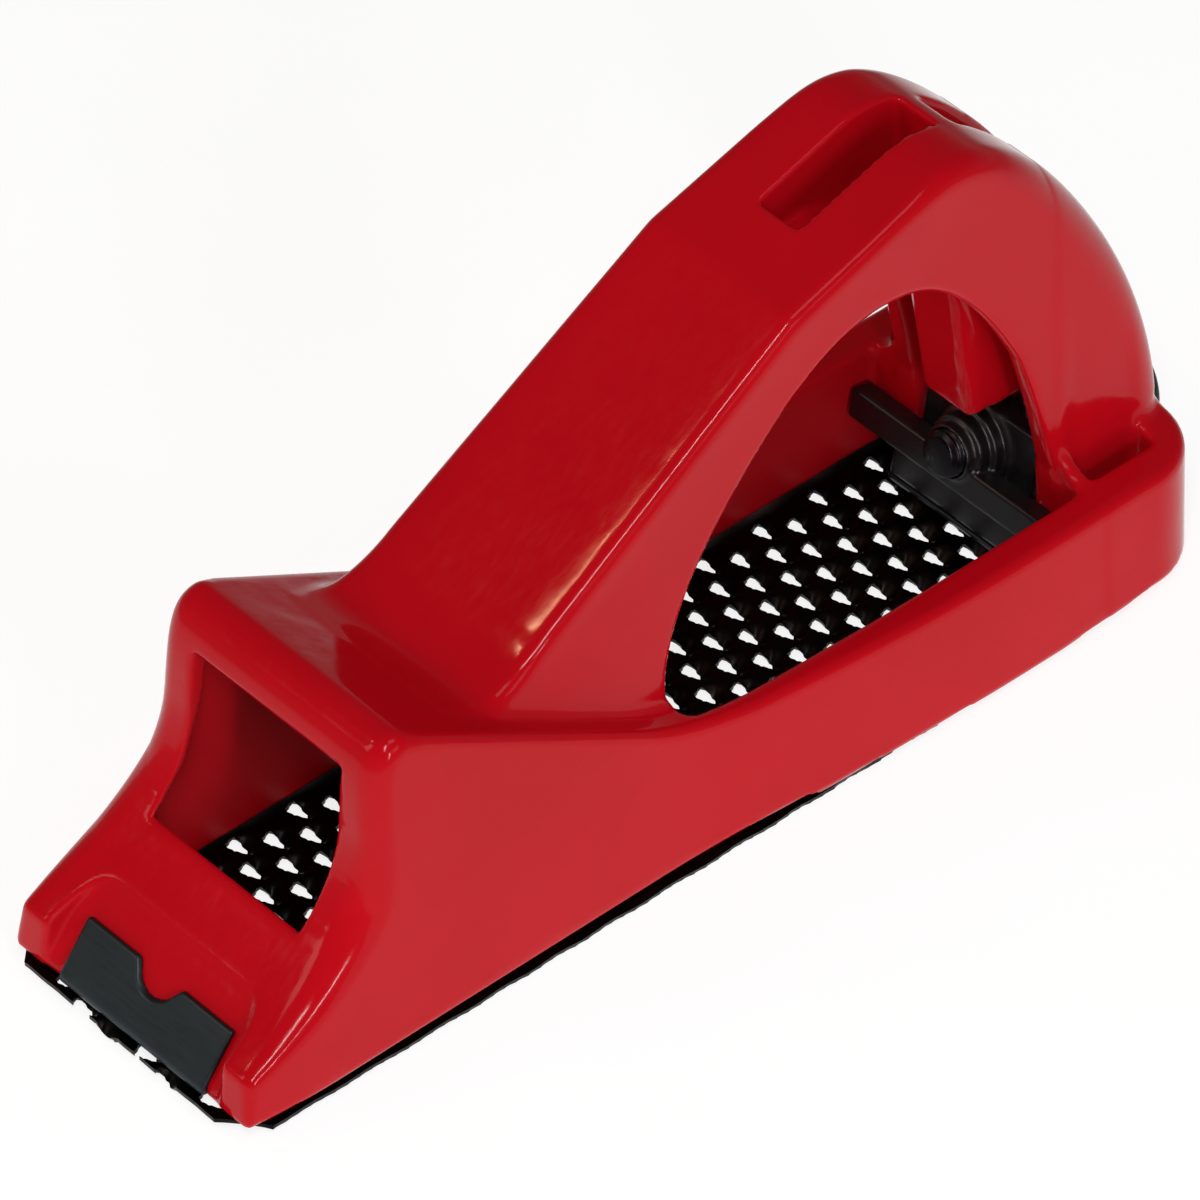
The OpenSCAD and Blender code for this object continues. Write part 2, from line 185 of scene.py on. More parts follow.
def skin_of(field):
    """The surface where a field is zero: points in steps of the grid, and quads that face outwards."""
    inside = field < 0
    n = field.shape
    parts = [inside[i : n[0] - 1 + i, j : n[1] - 1 + j, k : n[2] - 1 + k] for i, j, k in np.ndindex(2, 2, 2)]
    count = sum(part.astype(np.int8) for part in parts)
    live = (count > 0) & (count < 8)
    cells = np.argwhere(live)
    index = np.full(live.shape, -1, np.int32)
    index[live] = np.arange(len(cells))
    total = np.zeros((len(cells), 3))
    hits = np.zeros(len(cells))
    quads = []
    for axis in range(3):
        b, c = (axis + 1) % 3, (axis + 2) % 3
        for db, dc in np.ndindex(2, 2):
            place = np.zeros(3)
            place[b], place[c] = db, dc
            start = cells + place.astype(int)
            stop = start.copy()
            stop[:, axis] += 1
            f0, f1 = field[tuple(start.T)], field[tuple(stop.T)]
            crossed = (f0 < 0) != (f1 < 0)
            t = np.where(crossed, f0 / np.where(crossed, f0 - f1, 1), 0)
            total += crossed[:, None] * place
            total[:, axis] += t
            hits += crossed
        first = np.take(inside, np.arange(n[axis] - 1), axis)
        second = np.take(inside, np.arange(1, n[axis]), axis)
        edges = np.argwhere(first != second)
        within = (edges[:, b] > 0) & (edges[:, c] > 0) & (edges[:, b] < n[b] - 1) & (edges[:, c] < n[c] - 1)
        edges = edges[within]
        ring = []
        for db, dc in ((1, 1), (0, 1), (0, 0), (1, 0)):
            cell = edges.copy()
            cell[:, b] -= db
            cell[:, c] -= dc
            ring.append(index[tuple(cell.T)])
        ring = np.stack(ring, 1)
        # Stations run against X, so the order of a quad is the other way round from the grid's
        inward = first[tuple(edges.T)]
        quads.append(np.where(inward[:, None], ring[:, ::-1], ring))
    return cells + total / hits[:, None], np.concatenate(quads)


def pulled(places, field, slopes, rounds, longest=0.6, flattest=0.05):
    """Places drawn on to the surface along the slope of the field, by the longest move or less."""
    for _ in range(rounds):
        value, *slope = sample([field, *slopes], places)
        slope = np.stack(slope, 1)
        size = np.maximum((slope**2).sum(1), flattest)
        move = value[:, None] * slope / size[:, None]
        places = places - np.clip(move, -longest, longest)
    return places


def evened(places, quads, field, slopes, rounds):
    """Places moved halfway to the middle of their neighbours, and back on to the surface."""
    ends = np.concatenate([quads[:, [k, (k + 1) % 4]] for k in range(4)])
    count = np.bincount(ends.ravel(), minlength=len(places))[:, None]
    for _ in range(rounds):
        total = np.zeros_like(places)
        for here, there in (ends.T, ends.T[::-1]):
            total += np.stack([np.bincount(here, places[there, k], len(places)) for k in range(3)], 1)
        places = pulled(0.5 * places + 0.5 * total / np.maximum(count, 1), field, slopes, 1)
    return places


def piece(name, mesh, material):
    """A new object at the origin with one material."""
    mesh.materials.clear()
    mesh.materials.append(material)
    obj = bpy.data.objects.new(name, mesh)
    bpy.context.scene.collection.objects.link(obj)
    return obj


def plain_mesh(obj, name):
    """What an object's modifiers make of it, as a mesh of its own. The object goes."""
    depsgraph = bpy.context.evaluated_depsgraph_get()
    mesh = bpy.data.meshes.new_from_object(obj.evaluated_get(depsgraph))
    mesh.name = name
    bpy.data.objects.remove(obj, do_unlink=True)
    return mesh


def moulded(name, block, half, material, most_triangles=180000):
    """A piece whose surface is where the shape is zero, mirrored to both hands, with smooth normals."""
    field = np.concatenate([half[:, :0:-1], half], axis=1).astype(np.float32)
    low = block.low.copy()
    low[1] = -(half.shape[1] - 1) * block.step
    slopes = np.gradient(field)
    places, quads = skin_of(field)
    places = pulled(places, field, slopes, 2)
    places = evened(places, quads, field, slopes, 2)

    def to_part(p):
        q = low + p * block.step
        return np.stack([FRONT_X - q[:, 0], q[:, 1], q[:, 2] + SOLE_Z], 1) * MM

    mesh = bpy.data.meshes.new(name)
    mesh.from_pydata(to_part(places).tolist(), [], quads.tolist())
    triangles = 2 * len(quads)
    if triangles > most_triangles:
        thinned = piece(name, mesh, material)
        decimate = thinned.modifiers.new("Thin", "DECIMATE")
        decimate.ratio = most_triangles / triangles
        mesh = plain_mesh(thinned, name)
        flat = np.empty(3 * len(mesh.vertices))
        mesh.vertices.foreach_get("co", flat)
        p = flat.reshape(-1, 3) / MM
        places = (np.stack([FRONT_X - p[:, 0], p[:, 1], p[:, 2] - SOLE_Z], 1) - low) / block.step
        places = pulled(places, field, slopes, 2)
        mesh.vertices.foreach_set("co", to_part(places).ravel())
    # The slope of the field is the true normal, once stations are turned to run along X
    slope = np.stack(sample(slopes, places), 1) * (-1, 1, 1)
    slope /= np.maximum(np.linalg.norm(slope, axis=1, keepdims=True), 1e-6)
    mesh.shade_smooth()
    mesh.normals_split_custom_set_from_vertices(slope.tolist())
    mesh.update()
    return piece(name, mesh, material)


# Materials
def linear(hex_code):
    """An sRGB hex colour as linear RGBA."""
    parts = [int(hex_code[k : k + 2], 16) / 255 for k in (1, 3, 5)]
    return [c / 12.92 if c <= 0.04045 else ((c + 0.055) / 1.055) ** 2.4 for c in parts] + [1]


def add(tree, kind, settings=None, links=None):
    """A node of a tree, with its settings and inputs' values, fed by sockets or by nodes' first outputs."""
    node = tree.nodes.new(kind)
    for key, value in (settings or {}).items():
        if isinstance(key, str) and hasattr(node, key):
            setattr(node, key, value)
        else:
            node.inputs[key].default_value = value
    for key, source in (links or {}).items():
        socket = source.outputs[0] if isinstance(source, bpy.types.Node) else source
        tree.links.new(socket, node.inputs[key])
    return node


def lumps(size_mm, detail=3, roughness=0.55):
    """Settings of a noise whose largest lumps are about size_mm across."""
    return {"Scale": 1 / (size_mm * MM), "Detail": detail, "Roughness": roughness}


def span(low, high, start=0.0, stop=1.0):
    """Settings that turn a value between start and stop into one between low and high."""
    return {"From Min": start, "From Max": stop, "To Min": low, "To Max": high}


class Finish:
    """A material with a Principled shader, whose plain values are set on the shader's own sockets."""

    def __init__(self, name, **values):
        self.material = bpy.data.materials.new(name)
        self.material.use_nodes = True
        self.tree = self.material.node_tree
        self.shader = self.tree.nodes["Principled BSDF"]
        for key, value in values.items():
            self.shader.inputs[key.replace("_", " ")].default_value = value
        self.place = add(self.tree, "ShaderNodeTexCoord").outputs["Object"]

    def drift(self, first, second, pattern, sharper=None):
        """A base colour that drifts between two hex colours, the sharper over a narrow span of the noise."""
        factor = add(self.tree, "ShaderNodeTexNoise", pattern, {"Vector": self.place})
        if sharper:
            factor = add(self.tree, "ShaderNodeMapRange", sharper, {"Value": factor})
        mix = add(self.tree, "ShaderNodeMix", {"data_type": "RGBA"}, {"Factor": factor})
        ends = [s for s in mix.inputs if s.type == "RGBA"]
        ends[0].default_value, ends[1].default_value = linear(first), linear(second)
        colour = [s for s in mix.outputs if s.type == "RGBA"][0]
        self.tree.links.new(colour, self.shader.inputs["Base Color"])

    def draw_out(self, scale):
        """Patterns that are added from here on are drawn out along the axis with the lowest scale."""
        mapping = add(self.tree, "ShaderNodeMapping", {"Scale": scale}, {"Vector": self.place})
        self.place = mapping.outputs["Vector"]

    def gloss(self, brightest, dullest, pattern):
        """A roughness that wanders between two values."""
        noise = add(self.tree, "ShaderNodeTexNoise", pattern, {"Vector": self.place})
        rough = add(self.tree, "ShaderNodeMapRange", span(brightest, dullest, 0.3, 0.7), {"Value": noise})
        self.tree.links.new(rough.outputs["Result"], self.shader.inputs["Roughness"])

    def relief(self, depth_mm, strength, pattern):
        """Fine relief of a real depth."""
        noise = add(self.tree, "ShaderNodeTexNoise", pattern, {"Vector": self.place})
        settings = {"Distance": depth_mm * MM, "Strength": strength}
        bump = add(self.tree, "ShaderNodeBump", settings, {"Height": noise})
        self.tree.links.new(bump.outputs["Normal"], self.shader.inputs["Normal"])


def moulded_abs():
    """ABS from a polished mould: an even saturated red with a wet gloss and faint handling marks."""
    red = Finish("gloss_red_abs", IOR=1.53, Specular_IOR_Level=0.12)
    tree, place, shader = red.tree, red.place, red.shader
    red.drift("#C30918", "#CA0C1B", lumps(30), span(0, 1, 0.35, 0.65))
    # Wiping marks 4 mm long and about 1 mm apart, as coarse as they have to be to show at this size
    marks = add(tree, "ShaderNodeMapping", {"Scale": (1, 5, 3)}, {"Vector": place})
    wiped = add(tree, "ShaderNodeTexNoise", lumps(4, 6, 0.7), {"Vector": marks})
    gloss = add(tree, "ShaderNodeMapRange", span(0.06, 0.18, 0.35, 0.75), {"Value": wiped})
    # Walls that face inwards come from the unpolished core of the mould, and are satin
    normal = add(tree, "ShaderNodeNewGeometry").outputs["Normal"]
    side = add(tree, "ShaderNodeSeparateXYZ", None, {"Vector": place}).outputs["Y"]
    facing = add(tree, "ShaderNodeSeparateXYZ", None, {"Vector": normal}).outputs["Y"]
    outward = add(tree, "ShaderNodeMath", {"operation": "MULTIPLY"}, {0: side, 1: facing})
    satin = add(tree, "ShaderNodeMapRange", span(0.5, 0.0, -12 * MM, -4 * MM), {"Value": outward})
    rough = add(tree, "ShaderNodeMath", {"operation": "MAXIMUM"}, {0: gloss, 1: satin})
    tree.links.new(rough.outputs["Value"], shader.inputs["Roughness"])
    # The slow waviness of a cooled moulding, 6 mm from wave to wave, under a very fine orange peel
    peel = add(tree, "ShaderNodeTexNoise", lumps(0.7, 2), {"Vector": place})
    waves = add(tree, "ShaderNodeTexNoise", lumps(6, 1.5, 0.4), {"Vector": place})
    skin = add(tree, "ShaderNodeMath", {"operation": "MULTIPLY_ADD", 1: 0.06}, {0: peel, 2: waves})
    bump = add(tree, "ShaderNodeBump", {"Distance": 0.2 * MM, "Strength": 0.35}, {"Height": skin})
    tree.links.new(bump.outputs["Normal"], shader.inputs["Normal"])
    return red.material


def blackened_steel():
    """Hardened and blackened sheet steel: near black, with brown oxide drifts and a dull metal sheen."""
    steel = Finish("blackened_steel", Metallic=1.0)
    steel.drift("#101011", "#1E1B18", lumps(5, 5), span(0, 1, 0.35, 0.7))
    steel.gloss(0.3, 0.5, lumps(1.2, 4))
    steel.relief(0.02, 0.5, lumps(0.6, 3))
    return steel.material


def satin_hook_steel():
    """Steel strip with a thin blue-grey finish: satin, with faint rolling lines along its length."""
    steel = Finish("satin_blue_grey_steel", Metallic=0.85)
    steel.drift("#31373A", "#3C4346", lumps(6, 4))
    steel.draw_out((12, 1, 12))
    steel.gloss(0.34, 0.5, lumps(5, 4))
    steel.relief(0.01, 0.6, lumps(5, 4))
    return steel.material


def black_nylon():
    """Glass-filled nylon: near black, with a satin skin and a fine pebble from the mould."""
    nylon = Finish("black_glass_nylon", IOR=1.53)
    nylon.drift("#0C0C0E", "#131315", lumps(8, 3))
    nylon.gloss(0.28, 0.44, lumps(2, 4))
    nylon.relief(0.02, 0.5, lumps(0.7, 3))
    return nylon.material


def black_oxide_steel():
    """A turned steel screw with black oxide: dark metal with a soft, finely mottled sheen."""
    steel = Finish("black_oxide_steel", Metallic=1.0)
    steel.drift("#2A2A2D", "#37363A", lumps(3, 4))
    steel.gloss(0.26, 0.42, lumps(0.9, 4))
    steel.relief(0.01, 0.5, lumps(0.5, 2))
    return steel.material


def turned_brass():
    """Turned brass: warm yellow metal with a few dull patches."""
    brass = Finish("turned_brass", Metallic=1.0)
    brass.drift("#B8954A", "#A5823C", lumps(2, 4))
    brass.gloss(0.2, 0.36, lumps(0.8, 4))
    return brass.material


def zinc_plate():
    """A stamped washer with bright zinc: pale metal with a fine mottle."""
    zinc = Finish("bright_zinc", Metallic=1.0)
    zinc.drift("#A9ACAE", "#BFC1C2", lumps(1.5, 4))
    zinc.gloss(0.25, 0.4, lumps(0.7, 4))
    return zinc.material


def seamless_paper():
    """White background paper lit from behind, as for a cut-out picture, and dimmer far from the part."""
    white = linear("#FFFFFF")
    paper = Finish("backlit_white_paper", Roughness=0.9, Specular_IOR_Level=0.1, Emission_Color=white)
    paper.drift("#8C8C8C", "#949494", lumps(40, 3))
    measure = {"operation": "LENGTH"}
    reach = add(paper.tree, "ShaderNodeVectorMath", measure, {"Vector": paper.place}).outputs["Value"]
    glow = add(paper.tree, "ShaderNodeMapRange", span(0.84, 0.15, 0.22, 0.5), {"Value": reach})
    paper.tree.links.new(glow.outputs["Result"], paper.shader.inputs["Emission Strength"])
    return paper.material


RED = moulded_abs()
BLADE_STEEL = blackened_steel()
HOOK_STEEL = satin_hook_steel()
NYLON = black_nylon()
SCREW_STEEL = black_oxide_steel()
BRASS = turned_brass()
ZINC = zinc_plate()


# Sizes that several pieces share
BODY_L = 148
BLADE_FRONT, BLADE_BACK, BLADE_HALF = -2, 138, 21.4
BLADE_T, TOOTH_H = 0.6, SOLE_Z - 0.6
MIRROR_SUM = BLADE_FRONT + BLADE_BACK

SCREW_TILT = math.radians(10)
TIP_S, TIP_Z = 123.5, 13.4
SEAT_RUN = (BODY_L - 0.4 - TIP_S) / math.cos(SCREW_TILT)
SHANK_L = SEAT_RUN + 1.1
HEAD_H, HEAD_R = 4.2, 7.5
HEAD_SEAT_R, BORE_R = 7.8, 3.4

HOOK_T, HOOK_TOP, HOOK_HALF, FOOT_L = 0.8, 7.3, 12.5, 11
HOOK_LEAN = math.radians(53)
HOOK_FOOT_S = BLADE_FRONT + 0.1
LEAN_RUN = 1 / math.tan(HOOK_LEAN)

# Sizes of the body: the web behind the window, and half the width of what is cored or left inside
WEB_S = 129.6
TUB_HALF, CHIP_HALF, SLOT_HALF, CHANNEL_HALF, POST_HALF = 17.5, 12.6, 3.3, 3, 5
FRONT_LEG_HALF, REAR_LEG_HALF = 10.6, 10

# A place well clear of the body, in front of it, below it or past its middle, where an outline may end
OUTSIDE = -30


def lean_face(z):
    """Station of the inner face of the front hook at a height."""
    return HOOK_FOOT_S + HOOK_T / math.sin(HOOK_LEAN) + z * LEAN_RUN


def along_screw(block):
    """Distance along the screw from its tip, height across it, and distance from its axis."""
    run, rise = block.s - TIP_S, block.z - TIP_Z
    along = run * math.cos(SCREW_TILT) - rise * math.sin(SCREW_TILT)
    across = run * math.sin(SCREW_TILT) + rise * math.cos(SCREW_TILT)
    return along, across, np.sqrt(across**2 + block.y**2)


# Body
def base_shape(block):
    """The nose, the sloping deck and the rails, open above and below between the rails."""
    s, y, z = block.s, block.y, block.z

    # Up the front of the nose, over its brow, down the deck and back along the rails
    rails = [(78, 17), (89, 16.5), (100, 16), (112, 16)]
    top = curve([(0, 6.2), (9.8, 11.8), (19.8, 18.8), (19.8, 30)])
    top += curve([(19.8, 30), (20.2, 36.5), (20.2, 42.4), (25.6, 42)])[1:]
    top += curve([(60, 22), (64, 19.7), (68, 18), (78, 17)])
    top += [(k, float(eased(k, rails, 5))) for k in range(82, 124, 3)] + [(200, 16)]
    profile = block.profile(top + [(200, OUTSIDE), (-4, OUTSIDE)], 0.7)

    # Half the width at the sole, with rounded corners at the heel, drawn in higher up by the draft
    heel_s, heel_y, heel_r = 137.5, 12.4, 10.5
    widths = [(-2, 20.1), (1.2, 20.6), (8, 21.2), (66, 21.1), (89, 22.3), (112, 23.15), (126, 23.15)]
    widths.append((heel_s, 22.9))
    plan = [(OUTSIDE, 20.1)] + [(k, float(eased(k, widths, 4))) for k in range(-2, 134, 2)]
    quarter = np.radians(range(0, 91, 3))
    plan += [(heel_s + heel_r * math.sin(a), heel_y + heel_r * math.cos(a)) for a in quarter]
    plan += [(BODY_L, OUTSIDE), (OUTSIDE, OUTSIDE)]
    draft = lookup(s, [(0, 0.068), (66, 0.08), (100, 0.062), (135, 0.058), (148, 0.02)])
    sides = block.plan(plan) + draft * z

    # The edges are rounder on the nose than on the rails
    nose_edge = lookup(z, [(0, 0.6), (6, 1.4), (12, 3.6), (20, 4.6), (28, 3.5), (36, 3.2), (42, 3.2)])
    rail_edge = lookup(s, [(26, 1.4), (60, 1.2)])
    back = np.clip((s - 21) / 7, 0, 1)
    base = both(profile, sides, nose_edge * (1 - back) + rail_edge * back)

    # Behind the front leg the sides come a little way down round the edges of the blade
    drop = 0.85
    skirt = lookup(s, [(72, 0), (86, drop), (122, drop), (137, 0)]) * np.clip((y - BLADE_HALF) / 0.4, 0, 1)
    base = both(base, -z - skirt, 0.4)

    # The hollow of the nose, and the well between the rails from the window back to the heel
    tub = [(11.6, OUTSIDE), (11.6, 4), (12.9, 12), (14.2, 15.2), (19.2, 21.5), (22, 30), (23, 37.4)]
    tub += [(26.6, 37.6), (58, 19), (66, 15.3), (67.9, 14.6), (67.9, 60)]
    tub += [(WEB_S, 60), (WEB_S, 9), (141, 9), (141, OUTSIDE)]
    return cut(base, block.slab(tub, TUB_HALF, 1.5), lookup(s, [(20, 0.3), (60, 0.6), (74, 0.9)]))


def post_shape(block):
    """The post under the arch that carries the channel."""
    return block.slab([(124.4, 21), (120.2, 46), (117, 70), (160, 70), (160, 21)], POST_HALF, 2)


def grip_shape(block):
    """The ramp, top and spine, with sides that flare towards their feet, and the finger window."""
    s, y, z = block.s, block.y, block.z
    arch = curve([(35, 35.9), (40, 33.2), (44, 33.7), (50, 38.1)])
    arch += [(87.3, 61.85), (88.5, 62.6), (89.9, 63.05)]
    arch += curve([(106.5, 68.3), (111, 69.8), (113.5, 70.6), (118, 69.3)])
    arch += curve([(118, 69.3), (128.2, 65.4), (145.4, 43.6), (147.9, 19)])[1:]
    arch += [(147.4, 9), (82, 9), (70, 12), (60, 18), (50, 24), (35, 30)]

    # Half the width at the foot and at the neck of the grip, and the flare between them
    low = lookup(s, [(35, 30), (50, 24), (60, 18), (70, 12), (82, 9)])
    high = lookup(s, [(35, 36), (50, 38), (88.5, 62.6), (112, 70)])
    foot = eased(s, [(35, 16.8), (60, 15.9), (82, 14.8), (112, 14.2), (148, 14)], 5)
    neck = eased(s, [(35, 13.9), (50, 13.6), (88.5, 12.5), (116, 11.9), (135, 12.1), (148, 12.5)], 5)
    rise = np.clip((z - low) / (0.9 * (high - low)), 0, 1)
    sides = y - foot - (neck - foot) * (1 - (1 - rise) ** 1.6)
    edge = eased(s, [(35, 1.7), (88, 1.7), (106, 1.6), (116, 2.6), (126, 4.2), (136, 5.6), (148, 4.5)], 3)
    crown_h = 0.14
    crown = crown_h * np.clip((y - 8) / 4.5, 0, 1) ** 2 * np.clip((112 - s) / 20, 0, 1)
    grip = both(block.profile(arch, 0.8) + crown, sides, edge)

    window = [(68, OUTSIDE), (68, 14.2)] + curve([(67.4, 20), (67.5, 30), (77.2, 41.8), (88, 51)])
    window += curve([(88, 51), (94, 55.3), (100, 57.6), (107, 55.6)])[1:]
    window += curve([(107, 55.6), (114, 53.4), (119.2, 45.4), (124, 36)])[1:]
    window += curve([(124, 36), (126.4, 29), (128.8, 20), (130.4, 9)])[1:] + [(130.4, OUTSIDE)]
    return cut(grip, cut(block.profile(window, 1), post_shape(block), 1), 0.7)


def openings(block):
    """Each opening of the body with the radius of its rim, in the order in which they are cut."""
    # Pockets in the rails, beside the heel
    pocket = softened([(131.6, 13.9), (142, 13.9), (142, 17.3), (131.6, 17.3)], [1.4] * 4)
    floor_z = 6
    yield both(block.plan(pocket), floor_z - block.z, 0.8), lookup(block.y, [(13.9, 1.6), (15.2, 0.35)])

    # Hollow legs, with the post left standing in the rear one
    front_leg = [(47, OUTSIDE), (47, 31.5), (85, 54.8), (90, 50), (80, OUTSIDE)]
    yield block.slab(front_leg, FRONT_LEG_HALF, 2), 0.8
    rear_leg = [(116, OUTSIDE), (116, 48), (121, 56.5), (127, 56.5), (133, 51), (138, 42), (140.4, 31)]
    rear_leg.append((140.4, OUTSIDE))
    yield cut(block.slab(rear_leg, REAR_LEG_HALF, 2), post_shape(block), 1), 0.8

    # Chip window, cored slot and the channel down the spine
    yield block.slab([(5, 15.7), (5, 36.9), (26, 36.9), (26, 15.7)], CHIP_HALF), 0.4
    above = 100
    slot = [(97.4, above), (97.4, 59.4), (103.9, 60.2), (111.4, 57), (118.6, 52.6), (118.6, above)]
    yield block.slab(softened(slot, [0, 0.4, 4, 4, 0.4, 0]), SLOT_HALF), 0.35
    channel = [(121.6, above), (121.6, 53), (122.9, 46), (126.8, 24), (153, 24), (153, above)]
    yield block.slab(channel, CHANNEL_HALF, 0.8), 0.5

    # Recess for the front hook between the horns, with an arched top
    lean = [(OUTSIDE, -1), (lean_face(-1), -1), (lean_face(7), 7), (7.2, 10.4), (7.6, 14), (OUTSIDE, 14)]
    y, z, r = 8, 5.4, 7
    arch = [(y + r * math.cos(a), z + r * math.sin(a)) for a in np.radians(range(5, 91, 5))]
    arch = [(OUTSIDE, OUTSIDE), (y + r, OUTSIDE), (y + r, z)] + arch + [(OUTSIDE, z + r)]
    yield both(block.profile(softened(lean, [0, 0, 2.2, 1.8, 0, 0])), block.front(arch), 0.8), 0.7

    # Seats for the feet of the two hooks
    for start, stop in ((HOOK_FOOT_S - 1, FOOT_L - 1.7), (MIRROR_SUM - FOOT_L + 0.8, 139.2)):
        seat = [(start, -5), (start, HOOK_T), (stop, HOOK_T), (stop, -5)]
        yield block.slab(seat, HOOK_HALF + 0.1, 0.2), 0.15

    # Bore of the screw and seat of its head
    along, _, off = along_screw(block)
    yield np.maximum(off - BORE_R, -along), 0.3
    yield np.maximum(off - HEAD_SEAT_R, SEAT_RUN - along), 0.3


def body_shape(block):
    """The moulded body: nose, sloping deck and rails with an arched grip on top."""
    base, grip = base_shape(block), grip_shape(block)
    # A small fillet at the deck, and behind the web a hollow curve from the leg to the rails
    shape = joined(base, grip, 1.2)
    hollow_curve = joined(base, grip, lookup(block.s, [(139, 4.8), (146, 1.6)]))
    shape = joined(shape, both(hollow_curve, WEB_S - block.s, 0.5), 0.3)
    for opening, rim in openings(block):
        shape = cut(shape, opening, rim)
    return shape


body_grid = Block(stations=(-1.6, 150), side=24.6, heights=(-1.6, 72.6), step=0.5)
body = moulded("body_moulding", body_grid, body_shape(body_grid), RED)


# Hooks
def hook_shape(block):
    """A bent plate with a half-round notch, flared at its mouth."""
    top_s = HOOK_FOOT_S + HOOK_TOP * LEAN_RUN
    edge_z = HOOK_TOP - 0.3
    side = [(HOOK_FOOT_S, 0), (HOOK_FOOT_S + FOOT_L, 0), (HOOK_FOOT_S + FOOT_L, HOOK_T)]
    side += [(lean_face(HOOK_T), HOOK_T), (lean_face(edge_z), edge_z), (top_s, HOOK_TOP)]
    plate = block.slab(softened(side, [1.1, 0.15, 0.15, 0.5, 0.2, 0.2]), HOOK_HALF, 0.25)

    # The notch is worked out in the slope of the plate, down from its top, and stays clear of the foot
    down = ((HOOK_TOP - block.z) / math.sin(HOOK_LEAN)) * np.ones_like(block.s)
    notch_r, mouth_half, mouth_depth, clear_z = 3.2, 3.9, 1.3, 2.5
    half_round = np.sqrt(down**2 + block.y**2) - notch_r
    flare = (block.y - mouth_half + 0.75 * down) * 0.8
    notch = np.minimum(half_round, np.maximum(flare, down - mouth_depth))
    return cut(plate, np.where(block.z < clear_z, 9, notch), 0.2)


hook_grid = Block(stations=(-3, 10.2), side=13.6, heights=(-1, 8.4), step=0.2)
front_hook = moulded("front_hook_plate", hook_grid, hook_shape(hook_grid), HOOK_STEEL, 30000)

# The rear hook has the profile of the front one, read backwards along the blade
rear_grid = Block(stations=(MIRROR_SUM - 10, MIRROR_SUM + 3.2), side=13.6, heights=(-1, 8.4), step=0.2)
backwards = copy.copy(rear_grid)
backwards.s = MIRROR_SUM - rear_grid.s
rear_hook = moulded("rear_hook_plate", rear_grid, hook_shape(backwards), HOOK_STEEL, 30000)


# Cross bar
def bar_shape(block):
    """The cross bar: a rib between the rails, an upright plate, a stepped boss and a wedge foot."""
    along, across, off = along_screw(block)

    def bar_box(runs, rises, half, r=0.4):
        length = np.abs(along - sum(runs) / 2) - (runs[1] - runs[0]) / 2
        height = np.abs(across - sum(rises) / 2) - (rises[1] - rises[0]) / 2
        return both(both(length, height, r), block.y - half, r)

    def rear_face(z, gap=0.19):
        return MIRROR_SUM - lean_face(z) - gap

    rib = bar_box(runs=(2.2, 5.2), rises=(-5.2, -1.1), half=17)
    plate = bar_box(runs=(6.6, 9), rises=(-10.4, 5.2), half=9.3)
    steps = [(1.2, 0), (1.2, 3.4), (2.7, 3.6), (2.8, 4.2), (4.5, 4.25), (4.6, 4.9), (6.1, 4.95), (6.2, 5.7)]
    steps += [(10, 5.7), (10, 0)]
    boss = outline(softened(steps, [0, 0.4, 0.3, 0.4, 0.3, 0.4, 0.3, 0.5, 0.3, 0]), along, off)
    shape = joined(joined(rib, plate, 0.5), boss, 0.6)
    low, high = 0.95, 6.6
    wedge = [(127, low), (rear_face(low), low), (rear_face(high), high), (128.2, high)]
    shape = joined(shape, block.slab(softened(wedge, [0.3] * 4), 12, 0.4), 0.5)

    # The screw's hole, wider where the nut is pressed in
    hole_r, nut_r, nut_run = 3.1, 3.9, 5.2
    shape = cut(shape, off - hole_r, 0.2)
    return cut(shape, np.maximum(off - nut_r, nut_run - along), 0.1)


bar_grid = Block(stations=(121, 138), side=18, heights=(-0.4, 21), step=0.25)
tension_bar = moulded("tension_cross_bar", bar_grid, bar_shape(bar_grid), NYLON, 90000)


# Screw
def head_shape(block):
    """A pan head with a straight slot."""
    along, across, off = along_screw(block)
    end = SHANK_L + HEAD_H
    quarter = np.radians(range(0, 91, 10))
    head = [(SHANK_L, 0), (SHANK_L, HEAD_R)]
    head += [(end - (1 - math.sin(a)), HEAD_R - 1.2 * (1 - math.cos(a))) for a in quarter] + [(end, 0)]
    shape = outline(softened(head, [0, 0.3] + [0] * (len(head) - 2)), along, off)
    slot_half, slot_depth = 0.8, 1.6
    return cut(shape, both(np.abs(across) - slot_half, end - slot_depth - along, 0.2), 0.2)


head_grid = Block(stations=(145, 157), side=8.4, heights=(-1, 18), step=0.2)
head = moulded("screw_head", head_grid, head_shape(head_grid), SCREW_STEEL, 40000)


